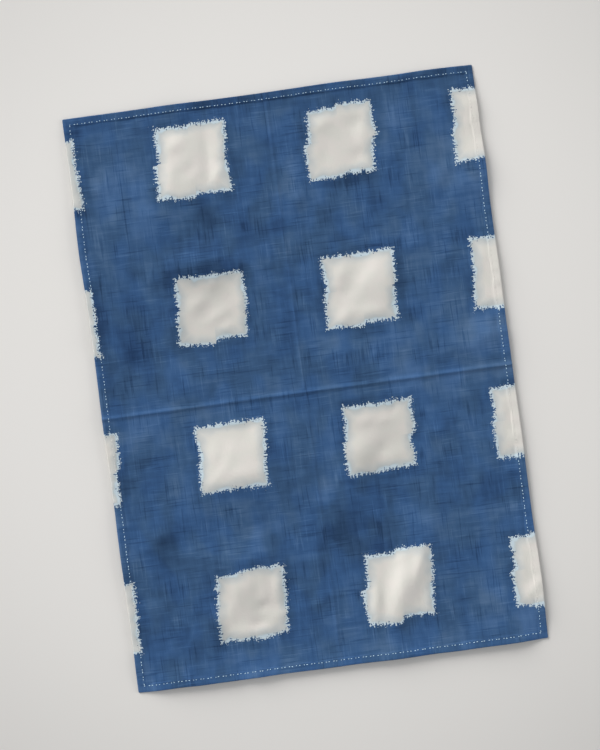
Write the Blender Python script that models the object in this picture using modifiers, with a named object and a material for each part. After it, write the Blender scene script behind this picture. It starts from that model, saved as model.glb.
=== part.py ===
"""Shibori dyed cloth: one hemmed rectangle of linen, laid flat, with soft folds, two pressed creases and lifted edges.

Metres, +Z up. +X runs across the width and +Y along the length. The origin is in the middle of the underside,
on the surface that the cloth lies on.
"""

from math import radians
from typing import NamedTuple

import bpy
import numpy as np

# Driving sizes of the finished cloth
WIDTH = 0.500
LENGTH = 0.700
HEM_WIDTH = 0.008
CLOTH_THICKNESS = 0.001
HEM_THICKNESS = 0.002

# How the turned hem ends on the underside, and how far inside it the cloth comes down to the surface
HEM_STEP = 0.001
HEM_SETTLE = 0.014

# The cloth's own weight presses out any rise lower than this
PRESSED_FLAT = 0.0003

# Spacing of the grid's lines between the hems
GRID_CELL = 0.0132

# The two creases left from folding the cloth in half each way
LONG_CREASE_X = -0.006
CROSS_CREASE_Y = -0.014
LONG_CREASE_HEIGHT = 0.0004
CROSS_CREASE_HEIGHT = 0.0011
CREASE_HALF_WIDTH = 0.005

# How far an edge stands off the surface between its corners, and how far in from the edge that reaches
EDGE_LIFT = {"left": 0.0008, "right": 0.0025, "top": 0.0008, "bottom": 0.0030}
EDGE_REACH = 0.016

# The thick corners of the hem rest on the surface: how far from a corner an edge has most of its lift
CORNER_REACH = 0.040

BLUE_DYE = (0.041, 0.093, 0.198, 1.0)
LINEN_ROUGHNESS = 0.85


class Fold(NamedTuple):
    """A soft ridge in the cloth: its middle, its turn from +X in degrees, its half sizes and its height."""

    x: float
    y: float
    turn: float
    half_length: float
    half_width: float
    height: float


class EdgeWave(NamedTuple):
    """A stretch of edge that bows outwards and lifts: its place along the edge, half length, bow and lift."""

    edge: str
    place: float
    half_length: float
    outward: float
    lift: float


FOLDS = (
    # x, y, turn, half_length, half_width, height
    Fold(-0.150, 0.226, 35, 0.070, 0.035, 0.0040),
    Fold(-0.108, 0.283, 90, 0.040, 0.016, 0.0022),
    Fold(-0.066, 0.281, 76, 0.038, 0.009, 0.0016),
    Fold(0.108, 0.279, 85, 0.030, 0.009, 0.0012),
    Fold(0.230, 0.216, 50, 0.045, 0.025, 0.0030),
    Fold(-0.100, 0.159, 0, 0.060, 0.014, 0.0025),
    Fold(-0.067, 0.096, 85, 0.032, 0.009, 0.0013),
    Fold(-0.152, 0.086, 90, 0.030, 0.012, 0.0016),
    Fold(-0.225, 0.086, 100, 0.050, 0.018, 0.0025),
    Fold(0.095, 0.089, 35, 0.050, 0.022, 0.0035),
    Fold(-0.145, 0.006, 30, 0.035, 0.018, 0.0022),
    Fold(0.050, 0.021, 20, 0.035, 0.015, 0.0020),
    Fold(0.205, 0.016, 5, 0.050, 0.016, 0.0025),
    Fold(-0.200, -0.059, 60, 0.030, 0.015, 0.0018),
    Fold(-0.102, -0.089, 50, 0.040, 0.016, 0.0030),
    Fold(0.028, -0.122, 66, 0.045, 0.016, 0.0030),
    Fold(0.205, -0.129, 75, 0.045, 0.016, 0.0025),
    Fold(-0.205, -0.169, 45, 0.040, 0.020, 0.0025),
    Fold(0.125, -0.194, 70, 0.040, 0.018, 0.0025),
    Fold(-0.085, -0.254, 80, 0.035, 0.018, 0.0022),
    Fold(0.040, -0.281, 80, 0.022, 0.009, 0.0016),
    Fold(0.080, -0.261, 67, 0.042, 0.011, 0.0036),
    Fold(0.107, -0.246, 75, 0.028, 0.009, 0.0030),
    Fold(0.215, -0.289, 85, 0.040, 0.018, 0.0025),
)

EDGE_WAVES = (
    # edge, place, half_length, outward, lift
    EdgeWave("left", 0.180, 0.060, 0.0020, 0.0012),
    EdgeWave("left", -0.020, 0.060, 0.0020, 0.0012),
    EdgeWave("left", -0.180, 0.050, 0.0017, 0.0014),
    EdgeWave("right", 0.298, 0.014, 0.0000, 0.0012),
    EdgeWave("right", 0.248, 0.022, 0.0004, 0.0014),
    EdgeWave("right", 0.100, 0.040, 0.0006, 0.0020),
    EdgeWave("right", 0.010, 0.040, 0.0008, 0.0012),
    EdgeWave("right", -0.110, 0.070, 0.0020, 0.0014),
    EdgeWave("right", -0.270, 0.050, 0.0014, 0.0018),
    EdgeWave("top", -0.120, 0.040, 0.0010, 0.0014),
    EdgeWave("top", 0.080, 0.060, 0.0008, 0.0010),
    EdgeWave("bottom", -0.130, 0.060, 0.0008, 0.0014),
    EdgeWave("bottom", 0.070, 0.045, 0.0010, 0.0014),
    EdgeWave("bottom", 0.200, 0.040, 0.0008, 0.0012),
)


def clear_scene():
    for old in list(bpy.data.objects):
        bpy.data.objects.remove(old, do_unlink=True)


def grid_lines(size, crease):
    """Places of the grid's lines along one side: close beside both hems, three on the crease, even between."""
    from_edge = np.array([0.0, HEM_WIDTH, HEM_WIDTH + HEM_STEP, HEM_WIDTH + HEM_SETTLE / 2, HEM_WIDTH + HEM_SETTLE])
    beside_low_hem = from_edge - size / 2
    beside_high_hem = size / 2 - from_edge
    inner = size / 2 - from_edge[-1]
    cells = round(2 * inner / GRID_CELL)
    even = np.linspace(-inner, inner, cells + 1)[1:-1]
    even = even[np.abs(even - crease) > 1.5 * CREASE_HALF_WIDTH]
    on_crease = crease + CREASE_HALF_WIDTH * np.array([-1.0, 0.0, 1.0])
    return np.sort(np.concatenate([beside_low_hem, beside_high_hem, even, on_crease]))


def bump(distance, half_size):
    """A rounded rise of height 1 at distance 0 that dies away past its half size."""
    return np.exp(-((distance / half_size) ** 2))


def fold_rise(x, y):
    """Sum of the folds: each is one bump along its own line times one across it."""
    rise = np.zeros_like(x)
    for fold in FOLDS:
        turn = radians(fold.turn)
        along = (x - fold.x) * np.cos(turn) + (y - fold.y) * np.sin(turn)
        across = (y - fold.y) * np.cos(turn) - (x - fold.x) * np.sin(turn)
        rise += fold.height * bump(along, fold.half_length) * bump(across, fold.half_width)
    return rise


def edge_distances(x, y):
    """For each edge, how far each point is inside it and where the point is along it."""
    return {
        "left": (x + WIDTH / 2, y),
        "right": (WIDTH / 2 - x, y),
        "top": (LENGTH / 2 - y, x),
        "bottom": (y + LENGTH / 2, x),
    }


def edge_rise(x, y):
    """Each edge's steady lift and its waves, dying away inwards and towards the corners."""
    rise = np.zeros_like(x)
    for edge, (inside, along) in edge_distances(x, y).items():
        lift = EDGE_LIFT[edge] + sum(
            wave.lift * bump(along - wave.place, wave.half_length) for wave in EDGE_WAVES if wave.edge == edge
        )
        rise += lift * np.exp(-inside / EDGE_REACH)
    from_corner = np.hypot(WIDTH / 2 - np.abs(x), LENGTH / 2 - np.abs(y))
    return rise * (1.0 - bump(from_corner, CORNER_REACH))


def hem_rise(inside):
    """The extra thickness of the turned hem under the cloth, eased down to nothing just inside it."""
    settled = np.clip((inside - HEM_WIDTH) / HEM_SETTLE, 0.0, 1.0)
    return (HEM_THICKNESS - CLOTH_THICKNESS) * (1.0 - settled**2 * (3.0 - 2.0 * settled))


def crease_rise(x, y):
    """Two low ridges with a sharp top, one along the length and one across."""
    long_crease = LONG_CREASE_HEIGHT * np.clip(1.0 - np.abs(x - LONG_CREASE_X) / CREASE_HALF_WIDTH, 0.0, 1.0)
    cross_crease = CROSS_CREASE_HEIGHT * np.clip(1.0 - np.abs(y - CROSS_CREASE_Y) / CREASE_HALF_WIDTH, 0.0, 1.0)
    return np.maximum(long_crease, cross_crease)


def bowed(x, y):
    """Moves each point with the bows of the two edges that it lies between, in proportion to how near they are."""
    outward = {edge: 0.0 for edge in EDGE_LIFT}
    for wave in EDGE_WAVES:
        along = y if wave.edge in ("left", "right") else x
        outward[wave.edge] = outward[wave.edge] + wave.outward * bump(along - wave.place, wave.half_length)
    towards_right = x / WIDTH + 0.5
    towards_top = y / LENGTH + 0.5
    bowed_x = x + outward["right"] * towards_right - outward["left"] * (1.0 - towards_right)
    bowed_y = y + outward["top"] * towards_top - outward["bottom"] * (1.0 - towards_top)
    return bowed_x, bowed_y


def centred(values):
    """Shifts the outline so that its lowest and highest points are as far from 0."""
    return values - (values.min() + values.max()) / 2


def linen_material():
    material = bpy.data.materials.new("dyed_linen")
    material.use_nodes = True
    shader = material.node_tree.nodes["Principled BSDF"]
    shader.inputs["Base Color"].default_value = BLUE_DYE
    shader.inputs["Roughness"].default_value = LINEN_ROUGHNESS
    shader.inputs["Metallic"].default_value = 0.0
    return material


def make_cloth(collection):
    """The cloth as its upper face, a shaped grid, thickened downwards: one layer inside, the turned hem at the rim."""
    columns = grid_lines(WIDTH, LONG_CREASE_X)
    rows = grid_lines(LENGTH, CROSS_CREASE_Y)
    bpy.ops.mesh.primitive_grid_add(x_subdivisions=len(columns) - 1, y_subdivisions=len(rows) - 1, size=2)
    cloth = bpy.context.object
    cloth.name = "cloth"
    mesh = cloth.data
    mesh.name = "cloth"

    points = np.empty(len(mesh.vertices) * 3, np.float32)
    mesh.vertices.foreach_get("co", points)
    share = (points.reshape(-1, 3).astype(np.float64) + 1.0) / 2.0
    x = columns[np.rint(share[:, 0] * (len(columns) - 1)).astype(int)]
    y = rows[np.rint(share[:, 1] * (len(rows) - 1)).astype(int)]

    inside = np.minimum.reduce([distance for distance, _ in edge_distances(x, y).values()])
    lifted = np.clip(fold_rise(x, y) + edge_rise(x, y) - PRESSED_FLAT, 0.0, None)
    height = CLOTH_THICKNESS + lifted + hem_rise(inside) + crease_rise(x, y)
    bowed_x, bowed_y = bowed(x, y)
    shaped = np.column_stack([centred(bowed_x), centred(bowed_y), height])
    mesh.vertices.foreach_set("co", shaped.astype(np.float32).ravel())
    mesh.update()
    mesh.shade_smooth()

    in_hem = inside < HEM_WIDTH + HEM_STEP / 2
    thickness = cloth.vertex_groups.new(name="thickness")
    thickness.add(np.flatnonzero(in_hem).tolist(), 1.0, "REPLACE")
    thickness.add(np.flatnonzero(~in_hem).tolist(), CLOTH_THICKNESS / HEM_THICKNESS, "REPLACE")
    layer = cloth.modifiers.new("layer", "SOLIDIFY")
    layer.thickness = HEM_THICKNESS
    layer.offset = -1.0
    layer.vertex_group = thickness.name

    mesh.materials.append(linen_material())
    for holder in list(cloth.users_collection):
        holder.objects.unlink(cloth)
    collection.objects.link(cloth)
    return cloth


def main():
    clear_scene()
    collection = bpy.data.collections.new("shibori_dyed_cloth")
    bpy.context.scene.collection.children.link(collection)
    make_cloth(collection)


main()
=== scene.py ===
"""Looks of the shibori dyed cloth: a hemmed rectangle of linen, resist dyed blue with rows of undyed squares.

Metres, +Z up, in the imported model's frame: +X across the width, +Y along the length, the origin in the
middle of the underside. The cloth is one closed surface, an upper and a lower layer that meet round its rim.
Its stitches are a joined mesh of short threads. The dye, the yarns and the weave are in the linen's material.
"""

from math import cos, radians, sin
from typing import NamedTuple

import bpy
import numpy as np
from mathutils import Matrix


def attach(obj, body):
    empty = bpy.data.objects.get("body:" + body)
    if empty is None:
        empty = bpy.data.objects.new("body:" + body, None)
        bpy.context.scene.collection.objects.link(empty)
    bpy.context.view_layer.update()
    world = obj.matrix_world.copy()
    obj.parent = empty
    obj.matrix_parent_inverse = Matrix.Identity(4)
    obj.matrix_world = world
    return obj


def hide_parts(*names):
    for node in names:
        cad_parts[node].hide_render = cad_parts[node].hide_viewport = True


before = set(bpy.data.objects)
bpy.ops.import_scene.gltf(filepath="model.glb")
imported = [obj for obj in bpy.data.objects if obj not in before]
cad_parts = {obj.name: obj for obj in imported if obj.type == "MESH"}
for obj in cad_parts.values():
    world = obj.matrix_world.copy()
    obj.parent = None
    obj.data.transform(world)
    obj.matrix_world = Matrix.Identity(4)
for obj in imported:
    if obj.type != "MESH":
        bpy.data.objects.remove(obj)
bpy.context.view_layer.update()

# Driving sizes of the cloth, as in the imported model
WIDTH = 0.500
LENGTH = 0.700
HEM_WIDTH = 0.008
HEM_SETTLE = 0.014
EDGE_REACH = 0.016
EDGE_SIZES = {"left": LENGTH, "right": LENGTH, "top": WIDTH, "bottom": WIDTH}
EDGE_PLACES = {"left": -WIDTH / 2, "right": WIDTH / 2, "top": LENGTH / 2, "bottom": -LENGTH / 2}

# How it lies, a little closer than in the solid: the loft inside, each edge's lift and the resting corners
LOFT = 0.0012
EDGE_LIFT = {"left": 0.0017, "right": 0.0029, "top": 0.0010, "bottom": 0.0052}
CORNER_REACH = 0.026
CORNER_RADIUS = 0.0014

# The two pressed creases. The cross crease drops a little towards the left and is steeper on its lower side
LONG_CREASE_X = -0.0025
LONG_CREASE_HEIGHT = 0.0010
LONG_CREASE_HALF_WIDTH = 0.0022
CROSS_CREASE_Y = -0.0160
CROSS_CREASE_DROP = 0.0006
CROSS_CREASE_HEIGHT = 0.0017
CROSS_CREASE_UPPER_SIDE = 0.0030
CROSS_CREASE_LOWER_SIDE = 0.0023

# The seeded small folds: how many, their height for their width, and how much calmer the whole squares are
CRUMPLE_COUNT = 360
CRUMPLE_STEEPNESS = 0.095
SQUARE_CALM = 0.80

# The seeded puckers along the hem, across it and beside it
PUCKER_FROM_CORNER = 0.010
PUCKER_HALF_LENGTH = 0.006
PUCKER_BESIDE_HALF_WIDTH = 0.0022

# The real linen is thinner than its solid: one layer inside, three in the hem
LINEN_THICKNESS = 0.0005
HEM_THICKNESS = 0.0015

# The hem's inner end: how much of its height drops at once, over what distance, and its rounding underneath
QUICK_DROP_SHARE = 0.62
QUICK_DROP = 0.0015
TURNED_EDGE_ROUNDING = 0.0006

# The undyed squares: their side, how far apart they repeat, and the middle of the first whole one
SQUARE_SIDE = 0.0884
SQUARE_PITCH = 0.1813
SECOND_COLUMN_X = -0.1010
FIRST_ROW_Y = 0.2802
DYE_STEP = 0.0006

# Places of the surface's lines: how far inside an edge, how far from a crease, and their spacing between
GRID_CELL = 0.0033
LINES_INSIDE_EDGE_MM = (
    0, 0.06, 0.25, 0.75, 2, 3.5, 5, 6, 6.7, 7.3, 7.9, 8.5, 9, 9.5, 10, 10.7, 11.6, 13, 15.5, 18.5, 22,
)
LINES_BESIDE_CREASE_MM = (0.8, 1.6, 2.4, 3.3, 4.5, 6)
CREASE_CLEARANCE = 0.0072

# The hem's stitches come in pairs, a pair for each repeat, on a line that wanders a little from edge to edge
STITCH_INSIDE = {"left": 0.0080, "right": 0.0079, "top": 0.0078, "bottom": 0.0076}
STITCH_FROM_FOLD = 0.0012
STITCH_REPEAT = 0.0090
STITCH_APART = 0.0034
STITCH_LENGTH = {"left": 0.0018, "right": 0.0017, "top": 0.0014, "bottom": 0.0017}
STITCH_LENGTH_SHARES = (0.70, 1.25)
STITCH_FROM_CORNER = 0.0078
STITCH_SPREAD_ALONG = 0.00022
STITCH_SPREAD_ACROSS = 0.00012
STITCH_SPREAD_HEADING = 0.09

# The thread: its radius, how flat it lies, how far its middle stands proud and its ends dip in, in radii
THREAD_RADIUS = 0.00039
THREAD_FLATNESS = 0.8
THREAD_PROUD = 0.75
THREAD_DIP = 1.3
THREAD_PROUD_BELOW = 0.6
LEAST_HEIGHT = 0.00002

# The groove that the thread pulls, and the dimple under each pair of stitches
GROOVE_DEPTH = 0.00010
GROOVE_HALF_WIDTH = 0.0018
DIMPLE_DEPTH = 0.00016
DIMPLE_HALF_WIDTH = 0.0024

MM = 0.001

# How strongly the patches below, partly dye and partly painted shade and light, show in the blue, and the
# contrast of all that makes it lighter or darker
PATCH_STRENGTH = 1.3
DYE_CONTRAST = 1.08


class Fold(NamedTuple):
    """A soft ridge in the cloth: its middle, its turn from +X in degrees, its half sizes and its height."""

    x: float
    y: float
    turn: float
    half_length: float
    half_width: float
    height: float


class EdgeWave(NamedTuple):
    """A stretch of edge that bows outwards and lifts: its place along the edge, half length, bow and lift."""

    edge: str
    place: float
    half_length: float
    outward: float
    lift: float


class Square(NamedTuple):
    """How far each side of an undyed square stands out from the regular one, in millimetres.

    Each side is two straight halves, with a step between them where the cloth was folded for dyeing. A side's
    numbers run from left to right or from top to bottom: the ends of its first half, then of its second.
    """

    column: int
    row: int
    left: tuple
    right: tuple
    top: tuple
    bottom: tuple


class Patch(NamedTuple):
    """A soft patch that is lighter or, below zero, darker. In the blue it is partly uneven dye and partly
    painted light and shade; on the undyed squares it is painted light and shade.
    """

    x: float
    y: float
    turn: float
    half_length: float
    half_width: float
    tone: float


class Slub(NamedTuple):
    """One thick yarn that took the dye darker or, below zero, lighter. It runs along X or Y."""

    along: str
    x: float
    y: float
    half_length: float
    half_width: float
    depth: float


class Streak(NamedTuple):
    """One kind of streak in the dye along the yarns: its size, its noise's seed and detail, its contrast."""

    width: float
    length: float
    seed: float
    detail: float
    contrast: float


class SlubKind(NamedTuple):
    """One kind of thick yarn, which comes in clusters, and its tone where it runs along Y and along X."""

    width: float
    length: float
    seed: float
    detail: float
    cluster_seed: float
    cluster_from: float
    cluster_to: float
    tone_y: float
    tone_x: float


class Wave(NamedTuple):
    """A wave along an edge: its depth times the sine of the distance over its stride, plus its phase."""

    depth: float
    stride: float
    phase: float


class Light(NamedTuple):
    """A soft far light: its bearing from +X and its elevation and width, all in degrees, and its strength."""

    name: str
    bearing: float
    elevation: float
    softness: float
    strength: float
    colour: tuple


LENGTH_COLUMNS = "x y half_length half_width height place outward lift width length".split()


def in_metres(kind, *rows):
    """Rows of one kind whose lengths, written in millimetres, are turned into metres."""
    is_length = [name in LENGTH_COLUMNS for name in kind._fields]
    return [kind(*(value / 1000 if long else value for value, long in zip(row, is_length))) for row in rows]


FOLDS = in_metres(
    Fold,
    # x, y, turn, half_length, half_width, height
    (-150, 226, 35, 70, 35, 4),
    (-112, 281, 90, 46, 23, 3),
    (-67, 281, 84, 40, 10, 2),
    (108, 279, 85, 30, 9, 2),
    (230, 216, 50, 45, 25, 3),
    (-107, 154, 0, 54, 25, 6.2),
    (-64, 98, 86, 34, 11, 2.4),
    (-147, 84, 90, 26, 11, 3.6),
    (-225, 86, 100, 50, 18, 2.5),
    (94, 112, 52, 30, 11, 2),
    (108, 104, 56, 34, 19, 4.4),
    (-145, 6, 30, 35, 18, 2.2),
    (50, 21, 20, 35, 15, 2),
    (205, 16, 5, 50, 16, 2.5),
    (-200, -59, 60, 30, 15, 1.8),
    (-100, -105, 6, 56, 42, 7.4),
    (44, -120, 66, 42, 18, 5),
    (205, -129, 75, 45, 16, 2.5),
    (-205, -169, 45, 40, 20, 2.5),
    (125, -194, 70, 40, 18, 2.5),
    (-110, -208, 0, 48, 22, 3.8),
    (48, -284, 84, 26, 6, 3.4),
    (83.5, -265, 72, 42, 14.5, 8.8),
    (106, -244, 72, 26, 8, 5.4),
    (215, -289, 85, 40, 18, 2.5),
)

# Smaller folds than the solid has: humps and dents, most of them where the undyed squares show them
CRUMPLES = in_metres(
    Fold,
    # x, y, turn, half_length, half_width, height
    (-118.5, 301, 35, 13, 9, 2.2),
    (-83.5, 284, 88, 36, 6, -1.6),
    (-129, 262, 85, 22, 7, 1.4),
    (-75, 256, 60, 12, 6, 1.5),
    (61, 303, 20, 15, 10, 2),
    (98.5, 297.8, 20, 11, 8, -1.8),
    (99.5, 258.8, 45, 10, 8, -1.8),
    (60, 264, 80, 14, 7, -1),
    (-118, 107, 40, 13, 8, 1.8),
    (-94, 91, 25, 21, 7, 1.1),
    (-105.5, 97, 50, 20, 9, -1),
    (-86, 74, 30, 9, 6, 1.1),
    (-96, 129, 60, 9, 7, 1.7),
    (60, 119.5, 60, 11, 8, 1.8),
    (64, 100, 45, 12, 8, -0.9),
    (58, 67.5, 50, 14, 9, 2.2),
    (111, 82, 80, 12, 6, 1),
    (91, 70, 0, 20, 8, 1.6),
    (-115, -98, 45, 17, 6, 0.9),
    (-98, -107, 6, 44, 10, 1.4),
    (-91.5, -39.5, 0, 20, 6, 1.3),
    (-101, -76, 60, 12, 8, 0.7),
    (-66, -66, 80, 16, 8, 1.3),
    (52, -91, 14, 24, 13, 1.8),
    (81, -97.5, 20, 6, 6, -1.9),
    (65, -60, 10, 12, 7, 1.2),
    (89, -62, 10, 9, 6, 1.1),
    (101, -50, 60, 10, 5, -1.3),
    (97, -106, 15, 18, 7, 0.6),
    (-103.5, -244, 86, 22, 18, 4.4),
    (-90.5, -244, 88, 22, 7, -1.2),
    (-67.5, -247, 88, 22, 8, 3),
    (-145.5, -285, 80, 22, 10, 3.6),
    (-95.5, -286.2, 20, 10, 7, -1.6),
    (-87.5, -266.2, 30, 8, 6, -1.8),
    (-100, -293, 0, 30, 7, 1.3),
    (-126, -268, 80, 14, 6, 1.1),
    (110, -285, 85, 18, 6, 2.2),
    (225, 290, 86, 18, 4, 0.7),
    (229, 112, 80, 20, 5, 0.8),
    (231, -70, 84, 22, 4, 0.8),
    (230, -255, 86, 20, 4, 0.8),
    (-232, 275, 95, 20, 4, 0.6),
    (-233, 90, 90, 18, 4, 0.6),
)

EDGE_WAVES = in_metres(
    EdgeWave,
    # edge, place, half_length, outward, lift
    ("left", 345, 40, 0.9, 0),
    ("left", 190, 55, 2, 1.2),
    ("left", -20, 60, 0.9, 1.2),
    ("left", -180, 50, 0.8, 1.4),
    ("left", -345, 40, 0.8, 0),
    ("right", 298, 14, 0.2, 1.8),
    ("right", 230, 30, 0.8, 1.8),
    ("right", 100, 40, 0.4, 2),
    ("right", 10, 40, 0.2, 1.2),
    ("right", -110, 70, 0.7, 1.4),
    ("right", -270, 50, 1.4, 1.8),
    ("top", -120, 40, 0.4, 1.4),
    ("top", 80, 60, 1.2, 1),
    ("top", 200, 50, 1.4, 0.4),
    ("bottom", -230, 30, 1.2, 0),
    ("bottom", -174, 18, 0.6, 0),
    ("bottom", -130, 60, 1.2, 1.4),
    ("bottom", -20, 35, 0.9, 0),
    ("bottom", 70, 45, 1.3, 1.4),
    ("bottom", 142, 25, 1, 0),
    ("bottom", 200, 40, 0.9, 1.2),
)

SQUARES = (
    # column, row, left, right, top, bottom
    Square(1, 1, (0, 0, 0, 0), (-3, -3.5, -2.5, 0.5), (0, 0, 0, -1), (-3, -3, -3, -2.5)),
    Square(2, 1, (-3, -4, 1, 2.5), (1, -2, -3, -0.5), (-1, -2.5, 0, 0.5), (-1.5, 2.5, -2.5, -2.5)),
    Square(3, 1, (-8, -6, 0.5, -2), (-2.5, 0.5, -4, -7.5), (-5, -3.5, 1, 0), (-1, -1, -3.5, -4)),
    Square(4, 1, (-2, -3, 1, 1), (0, 0, 0, 0), (0, -3, -4, -4), (1, -1, -2, -2)),
    Square(1, 2, (0, 0, 0, 0), (-6, -2, -6, -3), (-1, -1, -1, -4), (-5, -5, -5, -3.5)),
    Square(2, 2, (-4, -4, -1.5, 1), (-2.5, 0, -2, -6), (-2.5, -4, -2.5, -4), (-4.5, -1, -8, -6)),
    Square(3, 2, (-2, -4, 0, 1), (1.5, 0, -3, -3.5), (-1, -1, -1, 0.5), (-0.5, 1, -4, -3.5)),
    Square(4, 2, (-2, -2.5, -2, 2), (0, 0, 0, 0), (0.5, -3.5, -3, -3), (-2, 0.5, -2, -2)),
    Square(1, 3, (0, 0, 0, 0), (3, 1, -4, -3.5), (2.5, 2.5, 2.5, 2.5), (-4.5, -4.5, -4.5, -4)),
    Square(2, 3, (-2, -8, -4.5, -2.5), (0, -1.5, -4, -3.5), (-3, -3, -2, -2), (-4, -5.5, -6, -4.5)),
    Square(3, 3, (-5, -2.5, 0, -0.5), (-0.5, -1, -6, -5), (-2.5, -2.5, -3.5, 0), (-2.5, -3, -4.5, -5.5)),
    Square(4, 3, (-2.5, -4, -0.5, -1), (0, 0, 0, 0), (-4.5, 0, 1, 1), (0.5, 0, -1, -1.5)),
    Square(1, 4, (0, 0, 0, 0), (-1, -1, -3, -2), (2, 2, 2, 2), (-5, -5, -5, -5)),
    Square(2, 4, (-7, -4, -1.5, -3), (-0.5, 0, -0.5, -4), (-6.5, -1, 1.5, -0.5), (-4.5, -4, -1.5, -9.5)),
    Square(3, 4, (-7, -5.5, 2, -1.5), (-1, -1.5, -5, -6), (-3.5, -4, 1, 1.5), (-1.5, 2, -6.5, -6)),
    Square(4, 4, (-2.5, -5, 0, -1), (0, 0, 0, 0), (-6, 0, -2, -2), (-2.5, 4.5, -3, -4)),
)

# Patches in the blue: partly dye that took unevenly, partly painted shade and light where the folds turn away
# from the light or towards it
DYE_AND_SHADE_PATCHES = in_metres(
    Patch,
    # x, y, turn, half_length, half_width, tone
    (35, -187, 0, 50, 34, -0.20),
    (-197, 63, 90, 50, 22, -0.16),
    (-102, 148, 0, 50, 14, -0.14),
    (130, 103, 90, 34, 8, -0.16),
    (-80, 211, 0, 26, 22, -0.16),
    (55, 193, 0, 16, 14, -0.16),
    (95, 230, 0, 22, 10, -0.10),
    (-15, 51, 90, 32, 7, -0.12),
    (-187, -184, 90, 28, 20, -0.14),
    (160, -129, 0, 22, 18, -0.12),
    (220, -166, 0, 22, 14, -0.12),
    (80, 56, 0, 24, 14, -0.10),
    (-240, 118, 90, 36, 12, -0.14),
    (-215, -100, 90, 60, 30, -0.08),
    (-25, -85, 90, 50, 28, -0.07),
    (190, -70, 90, 30, 40, -0.08),
    (-212, 248, 90, 30, 20, 0.14),
    (-170, 243, 90, 45, 20, 0.16),
    (20, 236, 90, 28, 12, 0.14),
    (212, 238, 0, 34, 34, 0.16),
    (150, 306, 90, 28, 16, 0.12),
    (40, 36, 0, 17, 11, 0.16),
    (-160, 28, 0, 22, 24, 0.12),
    (207, 31, 0, 44, 24, 0.16),
    (118, 11, 90, 22, 14, 0.14),
    (-217, -49, 0, 14, 16, 0.14),
    (12, -124, 68, 32, 12, 0.14),
    (-170, -104, 90, 17, 11, 0.10),
    (-83, -187, 90, 19, 14, 0.12),
    (105, -189, 90, 22, 16, 0.12),
    (190, -297, 90, 34, 17, 0.14),
    (60, -330, 0, 120, 13, 0.06),
    (-150, -250, 90, 85, 20, -0.06),
    (-205, 130, 90, 45, 30, -0.05),
    (38, 48, 0, 38, 34, 0.05),
    (190, -45, 0, 30, 36, 0.05),
    (38, -130, 0, 38, 34, -0.05),
    (-9.5, 130, 90, 190, 5.5, -0.05),
    (-9.5, -240, 90, 90, 5.5, -0.04),
    (-170, -330, 0, 60, 13, 0.06),
    (-135, 338, 0, 45, 12, 0.16),
    (-130, 222, 0, 24, 13, 0.20),
    (232, 190, 90, 32, 16, 0.10),
    (190, 217, 0, 35, 12, 0.08),
    (-210, 120, 90, 20, 8, 0.10),
    (196, 68, 90, 22, 16, 0.20),
    (20, 60, 90, 20, 14, 0.09),
    (-110, 18, 0, 20, 18, 0.10),
    (-222, -20, 0, 22, 12, 0.12),
    (45, -21, 0, 32, 12, 0.16),
    (222, -21, 0, 28, 13, 0.20),
    (-225, -48, 90, 16, 16, 0.16),
    (-30, -65, 0, 18, 14, 0.22),
    (150, -100, 60, 30, 10, 0.11),
    (-190, -110, 0, 30, 22, 0.10),
    (-48, -128, 0, 32, 15, 0.12),
    (195, -216, 0, 18, 10, 0.13),
    (16, -312, 0, 22, 10, 0.15),
    (62, -322, 90, 16, 10, 0.18),
    (235, -327, 90, 22, 18, 0.18),
    (225, 343, 0, 18, 8, -0.12),
    (-238, 337, 90, 12, 10, -0.15),
    (-185, 230, 90, 16, 14, -0.17),
    (60, 221, 0, 16, 14, -0.14),
    (121, 198, 0, 16, 14, -0.18),
    (-202, 196, 0, 18, 18, -0.13),
    (-130, 178, 0, 14, 14, -0.15),
    (-91, 177, 0, 13, 12, -0.18),
    (163, 153, 90, 18, 12, -0.14),
    (-185, 145, 0, 14, 10, -0.11),
    (-159, 119, 90, 22, 12, -0.20),
    (10, 103, 0, 12, 9, -0.14),
    (-30, 101, 0, 16, 12, -0.18),
    (135, 95, 0, 14, 14, -0.10),
    (-35, 55, 0, 10, 10, -0.12),
    (-90, 49, 0, 18, 8, -0.12),
    (88, 47, 0, 20, 8, -0.12),
    (-17, 30, 90, 16, 10, -0.09),
    (-237, 30, 90, 24, 12, -0.10),
    (12, -70, 90, 16, 10, -0.11),
    (30, -92, 90, 14, 8, -0.16),
    (18, -143, 60, 18, 8, -0.11),
    (80, -150, 90, 24, 11, -0.16),
    (240, -160, 90, 24, 10, -0.15),
    (-128, -190, 90, 20, 9, -0.13),
    (-98, -193, 0, 10, 8, -0.10),
    (165, -205, 0, 14, 14, -0.12),
    (-157, -274, 90, 14, 12, -0.17),
    (-190, -287, 90, 20, 16, -0.13),
    (-245, -186, 90, 16, 10, 0.12),
    (-195, -3, 0, 12, 12, -0.11),
    (-152, -94, 90, 14, 10, -0.12),
    (-193, -345, 0, 14, 8, -0.12),
    (30, -344, 0, 16, 8, -0.14),
    (-249.5, 0, 90, 360, 1.8, 0.15),
    (248.5, 0, 90, 360, 3.5, 0.05),
    (0, 346.5, 0, 248, 4, -0.08),
    (-78, 346, 0, 28, 4.5, -0.12),
    (-28, 346, 0, 18, 4.5, -0.10),
    (112, 346, 0, 16, 4.5, -0.12),
    (172, 346, 0, 10, 4.5, -0.12),
    (210, 346, 0, 10, 4.5, -0.14),
    (240, 346, 0, 10, 4.5, -0.12),
    # Painted shadow of the hem's inner step along the top, with some dye pooled there
    (0, 340.8, 0, 250, 1.4, -0.28),
)
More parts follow.
